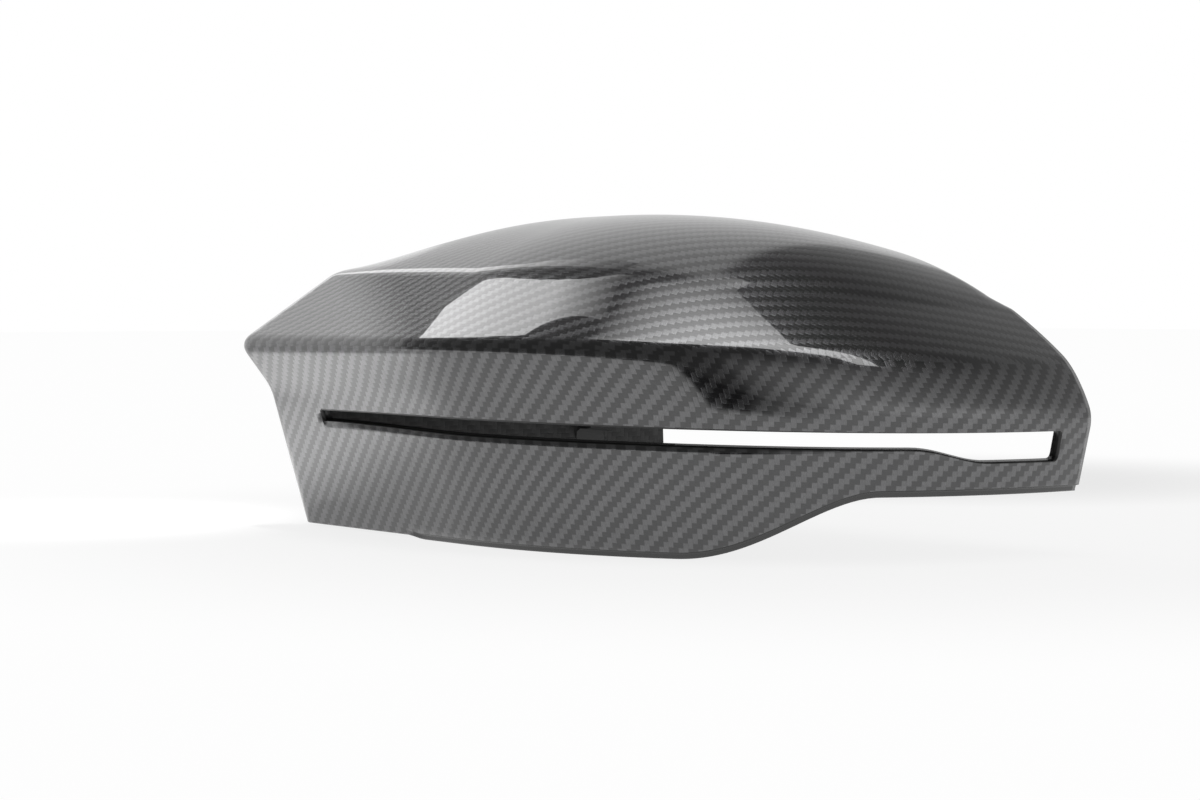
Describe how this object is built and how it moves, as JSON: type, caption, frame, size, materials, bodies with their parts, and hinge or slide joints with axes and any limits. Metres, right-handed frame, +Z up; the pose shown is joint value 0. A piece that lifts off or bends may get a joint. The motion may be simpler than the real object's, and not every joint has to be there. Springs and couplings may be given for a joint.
{
  "type": "wing mirror cover",
  "caption": "Thin glossy carbon-weave shell that covers the front, top and inboard side of a car's wing mirror head, with an indicator slot, an inset lower lip and five snap hooks inside.",
  "frame": {"origin": "in the plane of the rear opening, about the middle of its width, on the surface that the cover stands on", "axes": "+X along the rear opening from the inboard side to the outboard side, +Y rearward out of the opening, +Z up"},
  "size_m": [0.2198, 0.1313, 0.0923],
  "materials": {
    "carbon_shell": "clear-coated black carbon twill, dull inside, smooth black lip",
    "hook_plastic": "moulded black nylon, bonded to the inside of the shell"
  },
  "bodies": {
    "root": {"cover_shell": "carbon_shell", "hook_roof_inboard": "hook_plastic", "hook_roof_middle": "hook_plastic", "hook_roof_outboard": "hook_plastic", "hook_inboard_wall": "hook_plastic", "hook_front_wall": "hook_plastic"}
  },
  "joints": []
}
